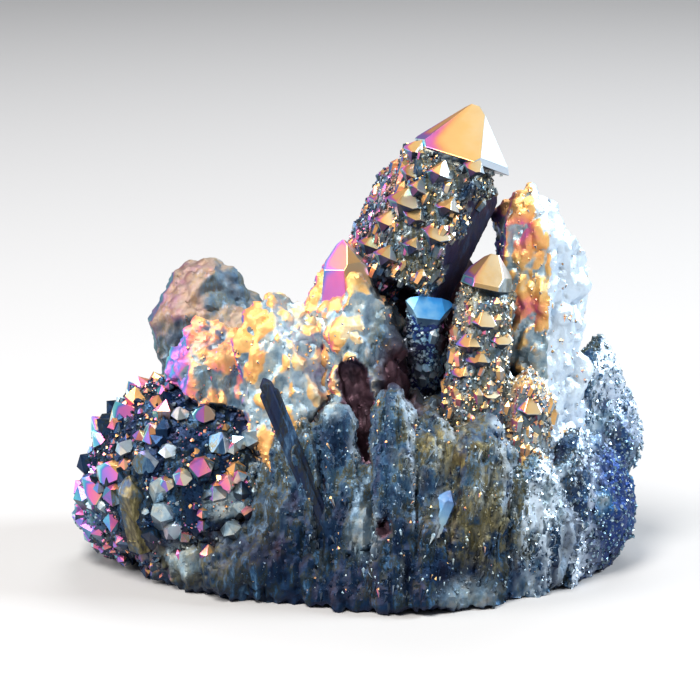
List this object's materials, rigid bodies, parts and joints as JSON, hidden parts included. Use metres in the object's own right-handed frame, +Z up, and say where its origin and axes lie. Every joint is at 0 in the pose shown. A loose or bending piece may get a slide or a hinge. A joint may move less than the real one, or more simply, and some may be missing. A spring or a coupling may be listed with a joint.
{
  "type": "aura quartz cluster",
  "caption": "Film-coated quartz crystal cluster with a leaning scepter-headed spire, drusy crystals and a flat underside, for display on a shelf or table.",
  "frame": {"origin": "middle of the bounding box, on the flat underside", "axes": "+Z up from the flat underside, +X to the right along the cluster's length, +Y from the front to the back"},
  "size_m": [0.0612, 0.038, 0.0491],
  "materials": {
    "coated_quartz": "thin metallic film over quartz: gold, magenta, violet, blue and white-blue by the direction each face looks"
  },
  "bodies": {
    "root": {"quartz_cluster": "coated_quartz"}
  },
  "joints": []
}
